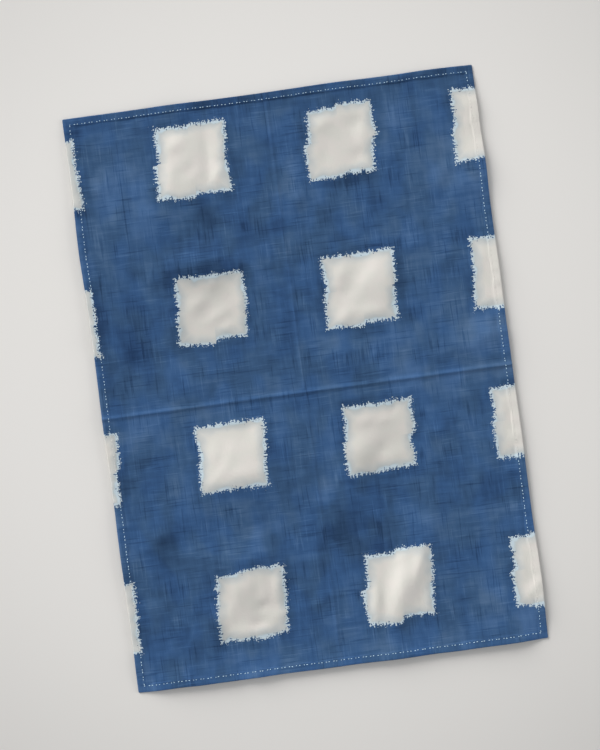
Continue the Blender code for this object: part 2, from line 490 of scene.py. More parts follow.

# Painted light and shade on the undyed squares: soft patches that are lighter where their folds face the
# light and greyer where they turn away
UNDYED_LIGHT_AND_SHADE_PATCHES = in_metres(
    Patch,
    # x, y, turn, half_length, half_width, tone
    (-101, 280, 0, 60, 60, 0.050),
    (-69, 262, 90, 34, 14, 0.045),
    (80, 280, 0, 60, 60, 0.010),
    (-101, 99, 0, 60, 60, -0.055),
    (-101, 134, 0, 34, 10, -0.050),
    (80, 99, 0, 60, 60, 0.025),
    (-101, -82, 0, 60, 60, 0.020),
    (80, -82, 0, 60, 60, -0.085),
    (58, -114, 0, 22, 14, -0.070),
    (-101, -264, 0, 60, 60, -0.045),
    (-138, -290, 90, 18, 8, -0.080),
    (80, -264, 0, 60, 60, 0.030),
)

SLUBS = in_metres(
    Slub,
    # along, x, y, half_length, half_width, depth
    ("y", -190.5, 236, 100, 1.4, 0.30),
    ("y", -190.5, 90, 80, 1.2, 0.10),
    ("y", -231, 127, 36, 1.2, 0.18),
    ("y", -210, 31, 22, 1.2, 0.14),
    ("y", -204, 71, 28, 1.2, 0.18),
    ("y", -97, 213, 20, 1.4, 0.22),
    ("y", -128, -163, 42, 1.2, 0.20),
    ("y", -103, -164, 18, 1.2, 0.18),
    ("y", -204, -188, 16, 1.2, 0.16),
    ("y", -65, -189, 12, 1.2, 0.16),
    ("y", -8, -233, 22, 1.2, 0.18),
    ("y", 19.5, 141, 34, 1.2, 0.18),
    ("y", 57, 198, 16, 1.8, 0.22),
    ("y", 95, 185, 28, 1.2, 0.18),
    ("y", 116, 55, 38, 1.2, 0.22),
    ("y", 119, 207, 14, 1.4, 0.20),
    ("y", 119, -157, 20, 1.2, 0.20),
    ("y", 135, 233, 15, 1.2, 0.18),
    ("y", 167, 165, 14, 1.4, 0.18),
    ("y", 165, 18, 20, 1.2, 0.18),
    ("y", 162, -149, 22, 1.2, 0.18),
    ("y", 200, -291, 22, 1.2, 0.18),
    ("y", 122, -333, 14, 1.2, 0.18),
    ("x", -165, 303, 18, 1.2, 0.16),
    ("x", -194, 183, 50, 1.2, 0.20),
    ("x", -119, 177, 34, 1.2, 0.18),
    ("x", -130, 172, 11, 1, 0.14),
    ("x", -145, 166, 16, 1, 0.14),
    ("x", -194, 84, 48, 1.2, 0.18),
    ("x", -69, 18, 34, 1.2, 0.20),
    ("x", -197, 30, 30, 1.2, 0.14),
    ("x", 174, 262, 26, 1.2, 0.18),
    ("x", 188, 177, 18, 1.2, 0.18),
    ("x", 184, 129, 24, 1.2, 0.18),
    ("x", 165, 319, 16, 1.2, 0.16),
    ("x", 170, 67, 22, 1.2, 0.16),
    ("x", 173, 17, 26, 1.2, 0.18),
    ("x", -69, -29, 22, 1.2, 0.16),
    ("x", -177, -56, 18, 1.2, 0.16),
    ("x", -40, -119, 22, 1.2, 0.16),
    ("x", -44, -191, 10, 1.2, 0.16),
    ("x", -162, -235, 26, 1.2, 0.16),
    ("x", -208, -290, 34, 1.2, 0.18),
    ("x", -218, -316, 22, 1.2, 0.16),
    ("x", -152, -323, 18, 1.2, 0.16),
    ("x", 182, -75, 20, 1.2, 0.16),
    ("x", 138, -171, 14, 1.2, 0.18),
    ("x", 171, -259, 34, 1.5, 0.28),
    ("x", 190, -190, 28, 1.2, 0.18),
    ("x", 18, -165, 14, 1.2, 0.16),
)

# Faint single yarns and soft bundles of them, whose tone follows the noise
YARN_STREAKS = in_metres(
    Streak,
    # width, length, seed, detail, contrast
    (1.2, 45, 20, 0, 0.075),
    (5, 60, 30, 1, 0.24),
)

# Blocks with clearer sides, which are darker or lighter by the whole contrast
BLOCK_STREAKS = in_metres(
    Streak,
    # width, length, seed, detail, contrast
    (12, 36, 35, 1, 0.030),
    (30, 60, 37, 1, 0.048),
)

SLUB_KINDS = in_metres(
    SlubKind,
    # width, length, seed, detail, cluster_seed, cluster_from, cluster_to, tone_y, tone_x
    (1.9, 42, 40, 0, 50, 0.38, 0.60, -0.24, -0.22),
    (2.0, 36, 60, 0, 70, 0.40, 0.62, 0.16, 0.16),
)
SLUB_CLUSTER = 0.035

# Frayed borders: the yarns' spacings and reach, a slow wander, and specks by size, depth and seed
FRAY_SPACINGS = (0.0011, 0.0018)
FRAY_REACH = 0.0024
BORDER_WANDER = 0.0030
BORDER_SPECKS = ((0.0022, 0.0115, 15.2), (0.0014, 0.0070, 18.9))

# Colours in linear red, green and blue. The dye's run from dark to light, the bleed's from the dye inwards
DYE_COLOURS = (
    (0.0, (0.008, 0.037, 0.104, 1.0)),
    (0.5, (0.0306, 0.0893, 0.2080, 1.0)),
    (1.0, (0.076, 0.154, 0.296, 1.0)),
)
BLEED_COLOURS = (
    (0.03, (0.525, 0.630, 0.690, 1.0)),
    (0.085, (0.500, 0.572, 0.600, 1.0)),
    (0.18, (0.504, 0.543, 0.540, 1.0)),
    (0.32, (0.545, 0.563, 0.553, 1.0)),
    (0.75, (0.615, 0.620, 0.592, 1.0)),
)
DYE_TINTS = ((0.93, 1.0, 1.06, 1.0), (1.07, 1.0, 0.94, 1.0))
CREAMS = ((0.662, 0.651, 0.602, 1.0), (0.684, 0.656, 0.614, 1.0))
DYED_THREADS = ((0.54, 0.78, 0.97, 1.0), (0.68, 0.88, 0.98, 1.0))
UNDYED_THREADS = ((0.68, 0.66, 0.62, 1.0), (0.78, 0.76, 0.71, 1.0))
FLOOR_PALES = ((0.782, 0.767, 0.735, 1.0), (0.782, 0.767, 0.742, 1.0))

# How the hem's inner fold wanders, and how its quick drop changes along the edge
FOLD_WANDER = (Wave(0.00050, 0.0067, 0.0), Wave(0.00030, 0.0029, 1.7))
QUICK_DROP_WAVES = (Wave(0.20, 0.0073, 0.6), Wave(0.14, 0.0041, 0.0))

LIGHTS = (
    # name, bearing, elevation, softness, strength, colour
    Light("key", 126, 20, 44, 3.87, (1.0, 0.985, 0.965)),
    Light("low_right", -8, 14, 24, 1.15, (1.0, 1.0, 1.0)),
    Light("low_front", -98, 13, 22, 0.22, (1.0, 1.0, 1.0)),
)


def bump(distance, half_size):
    """A rounded rise of height 1 at distance 0: exp of minus the square of distance over half size."""
    return np.exp(-((distance / half_size) ** 2))


def smooth_step(share):
    """0 up to share 0 and 1 from share 1, with a level start and end."""
    share = np.clip(share, 0.0, 1.0)
    return share**2 * (3.0 - 2.0 * share)


def along_and_across(x, y, spot):
    """Distances from the spot's middle along its own line and across it."""
    turn = radians(spot.turn)
    along = (x - spot.x) * cos(turn) + (y - spot.y) * sin(turn)
    across = (y - spot.y) * cos(turn) - (x - spot.x) * sin(turn)
    return along, across


def raised(x, y, folds):
    """Sum of the folds: each is its height times one bump along its own line and one across it."""
    total = np.zeros_like(x)
    for fold in folds:
        along, across = along_and_across(x, y, fold)
        total += fold.height * (bump(along, fold.half_length) * bump(across, fold.half_width))
    return total


def patched(x, y, patches):
    """Sum of the patches, each a soft rectangle: its tone times exp of minus the fourth powers both ways."""
    total = np.zeros_like(x)
    for patch in patches:
        along, across = along_and_across(x, y, patch)
        total += patch.tone * np.exp(-((along / patch.half_length) ** 4) - (across / patch.half_width) ** 4)
    return total


def waves(along, parts):
    """Sum of the waves at each distance along an edge."""
    return sum(wave.depth * np.sin(along / wave.stride + wave.phase) for wave in parts)


def edge_distances(x, y):
    """For each edge, how far each point is inside it and where the point is along it."""
    return {
        "left": (x + WIDTH / 2, y),
        "right": (WIDTH / 2 - x, y),
        "top": (LENGTH / 2 - y, x),
        "bottom": (y + LENGTH / 2, x),
    }


def distance_inside(x, y):
    return np.minimum.reduce([inside for inside, _ in edge_distances(x, y).values()])


def edge_rise(x, y):
    """Each edge's steady lift and its waves, dying away inwards as exp of minus the distance over the reach.

    The corners rest on the surface: the rise there is less by a bump round each of them.
    """
    rise = np.zeros_like(x)
    for edge, (inside, along) in edge_distances(x, y).items():
        lift = EDGE_LIFT[edge] + sum(
            wave.lift * bump(along - wave.place, wave.half_length) for wave in EDGE_WAVES if wave.edge == edge
        )
        rise += lift * np.exp(-inside / EDGE_REACH)
    from_corner = np.hypot(WIDTH / 2 - np.abs(x), LENGTH / 2 - np.abs(y))
    return rise * (1.0 - bump(from_corner, CORNER_REACH))


def in_whole_square(x, y):
    """True in and round the whole squares, whose main folds are listed one by one."""
    from_column = min(abs(x - SECOND_COLUMN_X - SQUARE_PITCH * step) for step in range(2))
    from_row = min(abs(y - FIRST_ROW_Y + SQUARE_PITCH * step) for step in range(4))
    return max(from_column, from_row) < 0.6 * SQUARE_SIDE


def small_crumples():
    """Small folds of seeded place, turn and size all over the cloth, lower in the whole squares."""
    chance = np.random.default_rng(11)
    made = []
    for _ in range(CRUMPLE_COUNT):
        x, y = chance.uniform(-0.5, 0.5, 2) * (WIDTH, LENGTH)
        turn = chance.choice([0, 90, 40, 70]) + chance.normal(0, 14)
        half_length = chance.uniform(0.010, 0.028)
        half_width = chance.uniform(0.005, 0.010)
        height = chance.normal(0, 1) * CRUMPLE_STEEPNESS * half_width
        if in_whole_square(x, y):
            height *= SQUARE_CALM
        made.append(Fold(x, y, turn, half_length, half_width, height))
    return made


def hem_puckers():
    """Small seeded ridges across the hem and beside it, where its layers pull against the stitching."""
    chance = np.random.default_rng(23)
    made = []
    for edge, size in EDGE_SIZES.items():
        inward = -np.sign(EDGE_PLACES[edge])
        on_hem = EDGE_PLACES[edge] + inward * HEM_WIDTH / 2
        place = PUCKER_FROM_CORNER - size / 2
        while place < size / 2 - PUCKER_FROM_CORNER:
            beside = EDGE_PLACES[edge] + inward * chance.uniform(0.0095, 0.0140)
            height_across = chance.uniform(0.0001, 0.0007)
            height_beside = chance.normal(0, 0.00028)
            beside_half_length = chance.uniform(0.006, 0.016)
            half_width = chance.uniform(0.003, 0.006)
            across = Fold(on_hem, place, 0, PUCKER_HALF_LENGTH, half_width, height_across)
            along = Fold(beside, place, 90, beside_half_length, PUCKER_BESIDE_HALF_WIDTH, height_beside)
            if edge in ("top", "bottom"):
                across = across._replace(x=place, y=on_hem, turn=90)
                along = along._replace(x=place, y=beside, turn=0)
            made += [across, along]
            place += chance.uniform(0.010, 0.026)
    return made


SMALL_FOLDS = [*CRUMPLES, *small_crumples(), *hem_puckers()]


def resting(rise):
    """Keeps the cloth off the surface: smoothing times log of one plus exp of rise over smoothing."""
    smoothing = 0.0004
    return smoothing * np.logaddexp(0.0, rise / smoothing)


def stitch_pull(x, y):
    """The groove that the thread pulls along each edge, deeper under each pair of stitches."""
    pull = np.zeros_like(x)
    for edge, (inside, along) in edge_distances(x, y).items():
        from_line = inside - STITCH_INSIDE[edge]
        under_pair = 0.5 + 0.5 * np.cos(2 * np.pi * along / STITCH_REPEAT)
        groove = GROOVE_DEPTH * bump(from_line, GROOVE_HALF_WIDTH)
        dimple = DIMPLE_DEPTH * under_pair * bump(from_line, DIMPLE_HALF_WIDTH)
        pull = np.maximum(pull, groove + dimple)
    return pull


def past_inner_fold(edge, inside, along):
    """How far a point is inside the hem's inner fold, which wanders in slow waves."""
    return inside - STITCH_INSIDE[edge] - STITCH_FROM_FOLD + waves(along, FOLD_WANDER)


def hem_share(x, y):
    """1 over the hem's layers. Past its inner fold it drops quickly by part of the way, then slowly to 0."""
    share = np.zeros_like(x)
    for edge, (inside, along) in edge_distances(x, y).items():
        past_fold = past_inner_fold(edge, inside, along)
        quick = QUICK_DROP_SHARE + waves(along, QUICK_DROP_WAVES)
        slow = 1.0 - quick
        drop = quick * smooth_step(past_fold / QUICK_DROP) + slow * smooth_step(past_fold / HEM_SETTLE)
        share = np.maximum(share, 1.0 - drop)
    return share


def hem_underneath(x, y):
    """1 under the hem and 0 inside it, with the turned edge rounded by a smooth step."""
    share = np.zeros_like(x)
    for edge, (inside, along) in edge_distances(x, y).items():
        past_fold = past_inner_fold(edge, inside, along)
        share = np.maximum(share, 1.0 - smooth_step(past_fold / TURNED_EDGE_ROUNDING + 0.5))
    return share


def crease_rise(x, y):
    """The higher of the two creases, each a bump across its line."""
    long_crease = LONG_CREASE_HEIGHT * bump(x - LONG_CREASE_X, LONG_CREASE_HALF_WIDTH)
    above = y - CROSS_CREASE_Y + CROSS_CREASE_DROP * smooth_step(-2 * x / WIDTH)
    side = np.where(above > 0, CROSS_CREASE_UPPER_SIDE, CROSS_CREASE_LOWER_SIDE)
    return np.maximum(long_crease, CROSS_CREASE_HEIGHT * bump(above, side))


def cloth_level(x, y):
    """Height of the upper face: linen, folds, lifted edges, hem and creases, less the stitches' pull."""
    loft = LOFT * (1.0 - np.exp(-distance_inside(x, y) / EDGE_REACH))
    lifted = resting(raised(x, y, FOLDS) + edge_rise(x, y) + raised(x, y, SMALL_FOLDS) + loft)
    layers = (HEM_THICKNESS - LINEN_THICKNESS) * hem_share(x, y)
    return LINEN_THICKNESS + lifted + layers + crease_rise(x, y) - stitch_pull(x, y)


def layer_thickness(x, y):
    """Three layers in the hem and one inside it."""
    return LINEN_THICKNESS + (HEM_THICKNESS - LINEN_THICKNESS) * hem_underneath(x, y)


def bowed(x, y):
    """Moves each point with the bows of the edges it lies between, in proportion to how near they are."""
    outward = dict.fromkeys(EDGE_SIZES, 0.0)
    for wave in EDGE_WAVES:
        along = y if wave.edge in ("left", "right") else x
        outward[wave.edge] = outward[wave.edge] + wave.outward * bump(along - wave.place, wave.half_length)
    towards_right = x / WIDTH + 0.5
    towards_top = y / LENGTH + 0.5
    bowed_x = x + outward["right"] * towards_right - outward["left"] * (1.0 - towards_right)
    bowed_y = y + outward["top"] * towards_top - outward["bottom"] * (1.0 - towards_top)
    return bowed_x, bowed_y


def grid_lines(size, crease, square_middles):
    """Places of the surface's lines along one side: close on the hems, the crease and the squares' steps."""
    inside_edge = MM * np.array(LINES_INSIDE_EDGE_MM)
    beside_crease = MM * np.array(LINES_BESIDE_CREASE_MM)
    beside_steps = np.add.outer(square_middles, (-DYE_STEP, DYE_STEP)).ravel()
    inner = size / 2 - inside_edge[-1]
    even = np.linspace(-inner, inner, round(2 * inner / GRID_CELL) + 1)[1:-1]
    even = even[np.abs(even - crease) > CREASE_CLEARANCE]
    even = even[np.abs(even[:, None] - beside_steps).min(axis=1) > GRID_CELL / 3]
    on_crease = np.concatenate([crease - beside_crease, [crease], crease + beside_crease])
    beside_edges = np.concatenate([inside_edge - size / 2, size / 2 - inside_edge])
    return np.sort(np.concatenate([beside_edges, even, on_crease, beside_steps]))


def rounded_corners(x, y):
    """Draws the corners in to a small radius: a square of side r mapped onto a quarter disc of radius r."""
    past_x = np.clip(np.abs(x) - (WIDTH / 2 - CORNER_RADIUS), 0.0, None) / CORNER_RADIUS
    past_y = np.clip(np.abs(y) - (LENGTH / 2 - CORNER_RADIUS), 0.0, None) / CORNER_RADIUS
    drawn_in_x = CORNER_RADIUS * past_x * (1.0 - np.sqrt(1.0 - past_y**2 / 2.0))
    drawn_in_y = CORNER_RADIUS * past_y * (1.0 - np.sqrt(1.0 - past_x**2 / 2.0))
    return x - np.sign(x) * drawn_in_x, y - np.sign(y) * drawn_in_y


def outline_middle():
    """Middle of the bowed outline, by its sides and half of each end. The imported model's is the origin."""
    sides = np.linspace(-LENGTH, LENGTH, 200) / 2
    ends = np.linspace(-WIDTH, WIDTH, 400) / 2
    outline_x = np.concatenate([np.repeat([-WIDTH / 2, WIDTH / 2], 200), ends])
    outline_y = np.concatenate([sides, sides, np.sign(ends) * LENGTH / 2])
    plan_x, plan_y = bowed(outline_x, outline_y)
    return (plan_x.min() + plan_x.max()) / 2, (plan_y.min() + plan_y.max()) / 2


MIDDLE = outline_middle()


def in_plan(x, y):
    """Where a point of the flat rectangle lies, seen from above."""
    plan_x, plan_y = bowed(*rounded_corners(x, y))
    return plan_x - MIDDLE[0], plan_y - MIDDLE[1]


def side_place(along, departures):
    """How far a square's side stands out at a distance along it from its middle: two halves and a step."""
    half = SQUARE_SIDE / 2
    return MM * np.interp(along, [-half, -DYE_STEP, DYE_STEP, half], departures)


def dye_distances(x, y):
    """Distances from each point to the nearest square's upright and level sides, below zero inside it."""
    half = SQUARE_SIDE / 2
    across = np.full(x.shape, 1.0)
    down = np.full(x.shape, 1.0)
    for square in SQUARES:
        centre_x = SECOND_COLUMN_X + SQUARE_PITCH * (square.column - 2)
        centre_y = FIRST_ROW_Y - SQUARE_PITCH * (square.row - 1)
        from_left = x - centre_x
        from_top = centre_y - y
        left = -half - side_place(from_top, square.left)
        right = half + side_place(from_top, square.right)
        top = -half - side_place(from_left, square.top)
        bottom = half + side_place(from_left, square.bottom)
        this_across = np.maximum(left - from_left, from_left - right)
        this_down = np.maximum(top - from_top, from_top - bottom)
        nearer = np.maximum(this_across, this_down) < np.maximum(across, down)
        across = np.where(nearer, this_across, across)
        down = np.where(nearer, this_down, down)
    return across, down


def dress(name, points, faces, material):
    """Puts points and faces into a mesh object with its material, shaded smooth, riding on the root body."""
    mesh = bpy.data.meshes.new(name)
    mesh.from_pydata(points.tolist(), [], faces)
    mesh.update()
    mesh.shade_smooth()
    mesh.materials.append(material)
    piece = bpy.data.objects.new(name, mesh)
    bpy.context.scene.collection.objects.link(piece)
    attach(piece, "root")
    return piece


def add_attribute(mesh, name, values):
    mesh.attributes.new(name, "FLOAT", "POINT").data.foreach_set("value", values.astype(np.float32))


def make_linen(material):
    """The cloth: an upper and a lower grid of points that share their rim.

    Upper height = level less half the thickness times (1 - roundness), lower height = level less half the
    thickness times (1 + roundness), where the roundness goes from 0 at the rim to 1 as a quarter circle.
    """
    columns = grid_lines(WIDTH, LONG_CREASE_X, [SECOND_COLUMN_X, SECOND_COLUMN_X + SQUARE_PITCH])
    rows = grid_lines(LENGTH, CROSS_CREASE_Y, FIRST_ROW_Y - SQUARE_PITCH * np.arange(4))
    x, y = np.meshgrid(columns, rows)
    level = cloth_level(x, y)
    thickness = layer_thickness(x, y)
    from_rim = np.clip(distance_inside(x, y) / (HEM_THICKNESS / 2), 0.0, 1.0)
    roundness = np.sqrt(1.0 - (1.0 - from_rim) ** 2)
    plan_x, plan_y = in_plan(x, y)
    upper = np.stack([plan_x, plan_y, level - thickness / 2 * (1.0 - roundness)], axis=-1)
    lower = np.stack([plan_x, plan_y, level - thickness / 2 * (1.0 + roundness)], axis=-1)

    upper_index = np.arange(x.size).reshape(x.shape)
    lower_index = upper_index.copy()
    within = (slice(1, -1), slice(1, -1))
    lower_index[within] = x.size + np.arange(lower_index[within].size).reshape(lower_index[within].shape)

    def cells(index):
        corners = [index[:-1, :-1], index[:-1, 1:], index[1:, 1:], index[1:, :-1]]
        return np.stack(corners, axis=-1).reshape(-1, 4)

    faces = np.concatenate([cells(upper_index), cells(lower_index)[:, ::-1]])
    points = np.concatenate([upper.reshape(-1, 3), lower[within].reshape(-1, 3)])
    linen = dress("linen_cloth", points, faces.tolist(), material)

    across, down = dye_distances(points[:, 0], points[:, 1])
    add_attribute(linen.data, "dye_across", across)
    add_attribute(linen.data, "dye_down", down)
    add_attribute(linen.data, "dye_and_painted_shade", PATCH_STRENGTH * patched(points[:, 0], points[:, 1], DYE_AND_SHADE_PATCHES))
    add_attribute(linen.data, "undyed_painted_light_and_shade", 1.0 + patched(points[:, 0], points[:, 1], UNDYED_LIGHT_AND_SHADE_PATCHES))
    return linen


def stitch_places():
    """Middle, heading and length of every stitch: pairs along the edges, a little uneven by a fixed seed."""
    chance = np.random.default_rng(5)
    places = []
    for edge, size in EDGE_SIZES.items():
        reach = size / 2 - STITCH_FROM_CORNER
        repeats = int(reach // STITCH_REPEAT) + 1
        for repeat in range(-repeats, repeats + 1):
            for side in (-0.5, 0.5):
                along = repeat * STITCH_REPEAT + side * STITCH_APART + chance.normal(0, STITCH_SPREAD_ALONG)
                across = STITCH_INSIDE[edge] + chance.normal(0, STITCH_SPREAD_ACROSS)
                heading = chance.normal(0, STITCH_SPREAD_HEADING)
                length = STITCH_LENGTH[edge] * chance.uniform(*STITCH_LENGTH_SHARES)
                if abs(along) > reach:
                    continue
                inside = EDGE_PLACES[edge] - np.sign(EDGE_PLACES[edge]) * across
                if edge in ("left", "right"):
                    places.append((inside, along, radians(90) + heading, length))
                else:
                    places.append((along, inside, heading, length))
    return np.array(places)


def make_stitches(material):
    """The hem's stitches on both faces: each is a short round thread that is thickest in its middle.

    A point's place along the stitch is a share from -1 to 1 of its half length. The radius there is the
    thread's times the square root of one less the share to the fourth. The middle is proud, the ends dip.
    """
    places = stitch_places()
    share = np.array([-1.0, -0.82, 0.0, 0.82, 1.0])
    swell = np.sqrt(np.clip(1.0 - share**4, 0.0, 1.0))[None, :, None]
    proud = THREAD_RADIUS * (THREAD_PROUD - THREAD_DIP * share**2)[None, :, None]
    round_it = np.arange(6) * np.pi / 3
    ring = len(round_it)

    centre_x, centre_y, heading, length = (values[:, None, None] for values in places.T)
    along = share[None, :, None] * length / 2
    middle_x = centre_x + along * np.cos(heading)
    middle_y = centre_y + along * np.sin(heading)
    sideways = THREAD_RADIUS * swell * np.cos(round_it)
    upwards = THREAD_RADIUS * swell * np.sin(round_it) * THREAD_FLATNESS
    plan_x, plan_y = in_plan(middle_x - sideways * np.sin(heading), middle_y + sideways * np.cos(heading))
    level = cloth_level(middle_x, middle_y)
    above = level + proud + upwards
    below = np.maximum(level - HEM_THICKNESS - proud * THREAD_PROUD_BELOW + upwards, LEAST_HEIGHT)

    ring_faces = []
    for step in range(len(share) - 1):
        for turn in range(ring):
            following = (turn + 1) % ring
            first, second = step * ring, (step + 1) * ring
            ring_faces.append((first + turn, second + turn, second + following, first + following))
    ring_faces = np.array(ring_faces)
    per_stitch = len(share) * ring
    points = []
    faces = []
    for count, height in enumerate((above, below)):
        points.append(np.stack([plan_x, plan_y, height], axis=-1).reshape(-1, 3))
        starts = (np.arange(len(places)) + count * len(places)) * per_stitch
        faces.append((ring_faces[None] + starts[:, None, None]).reshape(-1, 4))
    points = np.concatenate(points)
    stitches = dress("hem_stitches", points, np.concatenate(faces).tolist(), material)
    across, down = dye_distances(points[:, 0], points[:, 1])
    add_attribute(stitches.data, "undyed", np.where(np.maximum(across, down) < 0, 1.0, 0.0))
    return stitches


class Graph:
    """Short calls that add nodes to one material. Each returns the new node's output socket."""

    def __init__(self, name):
        self.material = bpy.data.materials.new(name)
        self.material.use_nodes = True
        self.tree = self.material.node_tree
        self.shader = self.tree.nodes["Principled BSDF"]

    def add(self, kind, sockets, output=0, **settings):
        node = self.tree.nodes.new(kind)
        for name, value in settings.items():
            setattr(node, name, value)
        for name, value in sockets.items():
            if isinstance(value, bpy.types.NodeSocket):
                self.tree.links.new(value, node.inputs[name])
            else:
                node.inputs[name].default_value = value
        return node.outputs[output]

    def math(self, operation, first, second=0.0, third=0.0):
        return self.add("ShaderNodeMath", {0: first, 1: second, 2: third}, operation=operation)

    def ramp(self, value, low, high, to_low=0.0, to_high=1.0):
        """A smooth step of the value from low to high, onto the range from to_low to to_high."""
        sockets = {"Value": value, "From Min": low, "From Max": high, "To Min": to_low, "To Max": to_high}
        return self.add("ShaderNodeMapRange", sockets, interpolation_type="SMOOTHSTEP")

    def mix(self, share, first, second, blend="MIX"):
        sockets = {0: share, 6: first, 7: second}
        return self.add("ShaderNodeMix", sockets, 2, data_type="RGBA", blend_type=blend)

    def attribute(self, name):
        return self.add("ShaderNodeAttribute", {}, "Fac", attribute_name=name)

    def vector(self, operation, first, second):
        return self.add("ShaderNodeVectorMath", {0: first, 1: second}, operation=operation)

    def total(self, values):
        """Sum of any number of values."""
        first, *others = values
        for value in others:
            first = self.math("ADD", first, value)
        return first

    def centred(self, noise, contrast):
        """The noise about 0, times the contrast."""
        return self.math("MULTIPLY", self.math("SUBTRACT", noise, 0.5), contrast)

    def scale(self, colour, share):
        return self.add("ShaderNodeVectorMath", {0: colour, "Scale": share}, operation="SCALE")

    def colours(self, value, stops):
        """The colour for a value, read between stops, each a place and a colour."""
        colour = self.add("ShaderNodeValToRGB", {"Fac": value})
        elements = colour.node.color_ramp.elements
        for element, stop in zip(elements, stops):
            element.position, element.color = stop
        for place, stop_colour in stops[2:]:
            elements.new(place).color = stop_colour
        return colour

    def streaks(self, place, way, kind, number):
        """Noise drawn out along the yarns that run along the named axis."""
        size_x, size_y = (kind.length, kind.width) if way == "x" else (kind.width, kind.length)
        return self.noise(place, size_x, size_y, kind.seed + number, kind.detail)

    def flat_place(self):
        """Place on the cloth, seen from above, so that both faces and the rim take the same dye and yarns."""
        place = self.add("ShaderNodeTexCoord", {}, "Object")
        return self.vector("MULTIPLY", place, (1.0, 1.0, 0.0))

    def noise(self, place, size_x, size_y, seed, detail=2.0):
        """Noise whose grains are size_x by size_y metres. The seed moves it off to another stretch."""
        sockets = {"Vector": place, "Location": (0.0, 0.0, seed), "Scale": (1.0 / size_x, 1.0 / size_y, 1.0)}
        placed = self.add("ShaderNodeMapping", sockets)
        return self.add("ShaderNodeTexNoise", {"Vector": placed, "Scale": 1.0, "Detail": detail})

    def finish(self, **sockets):
        for name, value in sockets.items():
            socket = self.shader.inputs[name.replace("_", " ")]
            if isinstance(value, bpy.types.NodeSocket):
                self.tree.links.new(value, socket)
            else:
                socket.default_value = value
        return self.material


def yarn_reach(graph, place, yarns, seed):
    """How far each yarn carries the undyed part past its border: random by the yarn, at two spacings.

    The yarns run along the axis that isn't named, and each has a reach of its own at every side of a square.
    """
    reaches = []
    for spacing in FRAY_SPACINGS:
        side = SQUARE_PITCH / 2
        cell = (spacing, side, 1.0) if yarns == "x" else (side, spacing, 1.0)
        moved = graph.vector("SUBTRACT", place, (SECOND_COLUMN_X, FIRST_ROW_Y, 0.0))
        seeded = graph.vector("ADD", graph.vector("SNAP", moved, cell), (0.0, 0.0, seed + spacing))
        random = graph.add("ShaderNodeTexWhiteNoise", {"Vector": seeded})
        reaches.append(graph.centred(random, FRAY_REACH))
    return graph.math("ADD", *reaches)


def undyed_share(graph, place):
    """1 in the undyed squares and 0 in the dye, frayed in specks, and the distance to the smooth border."""
    across = graph.attribute("dye_across")
    down = graph.attribute("dye_down")
    wander = graph.centred(graph.noise(place, 0.011, 0.011, 12.4, 1.0), BORDER_WANDER)
    smooth = graph.math("ADD", graph.math("MAXIMUM", across, down), wander)
    frayed_across = graph.math("ADD", across, yarn_reach(graph, place, "y", 3.1))
    frayed_down = graph.math("ADD", down, yarn_reach(graph, place, "x", 7.7))
    parts = [graph.math("MAXIMUM", frayed_across, frayed_down), wander]
    for size, depth, seed in BORDER_SPECKS:
        parts.append(graph.centred(graph.noise(place, size, size, seed, 1.0), depth))
    return graph.ramp(graph.total(parts), -0.0001, 0.0001, 1.0, 0.0), smooth


def yarn_tone(graph, place):
    """Lighter and darker yarns both ways: single yarns, soft bundles, broad blocks, dark and light slubs."""
    parts = []
    for number, way in enumerate(("y", "x")):
        for streak in YARN_STREAKS:
            parts.append(graph.centred(graph.streaks(place, way, streak, number), streak.contrast))
        for block in BLOCK_STREAKS:
            sides = graph.streaks(place, way, block, number)
            parts.append(graph.ramp(sides, 0.45, 0.55, -block.contrast, block.contrast))
        for kind in SLUB_KINDS:
            slubs = graph.ramp(graph.streaks(place, way, kind, number), 0.61, 0.76)
            clusters = graph.noise(place, SLUB_CLUSTER, SLUB_CLUSTER, kind.cluster_seed + number, 0.0)
            clusters = graph.ramp(clusters, kind.cluster_from, kind.cluster_to)
            tone = kind.tone_y if way == "y" else kind.tone_x
            parts.append(graph.math("MULTIPLY", graph.math("MULTIPLY", slubs, clusters), tone))
    return graph.total(parts)


def slub_depth(graph, place):
    """Depth of the single slubs: each fades out over a long thin oval round its middle."""
    depths = []
    for slub in SLUBS:
        half_x, half_y = slub.half_width, slub.half_length
        if slub.along == "x":
            half_x, half_y = half_y, half_x
        location = (-slub.x / half_x, -slub.y / half_y, 0.0)
        scale = (1.0 / half_x, 1.0 / half_y, 1.0)
        from_middle = graph.add("ShaderNodeMapping", {"Vector": place, "Location": location, "Scale": scale})
        away = graph.add("ShaderNodeVectorMath", {0: from_middle}, "Value", operation="LENGTH")
        depths.append(graph.ramp(away, 0.1, 1.0, slub.depth, 0.0))
    return graph.total(depths)


def weave_height(graph, place):
    """Plain weave: the product of two sines, one for each way, with uneven yarns from stretched noise."""
    pitch = 0.00072
    thick_warp = graph.noise(place, 0.0009, 0.030, 61.0, 1.0)
    thick_weft = graph.noise(place, 0.030, 0.0009, 62.0, 1.0)
    split = graph.add("ShaderNodeSeparateXYZ", {0: place}, "X").node
    turns = 2 * np.pi / pitch
    warp = graph.math("SINE", graph.math("MULTIPLY", split.outputs["X"], turns))
    weft = graph.math("SINE", graph.math("MULTIPLY", split.outputs["Y"], turns))
    over = graph.math("MULTIPLY_ADD", graph.math("MULTIPLY", warp, weft), 0.22, 0.5)
    return graph.math("ADD", over, graph.math("ADD", thick_warp, thick_weft))


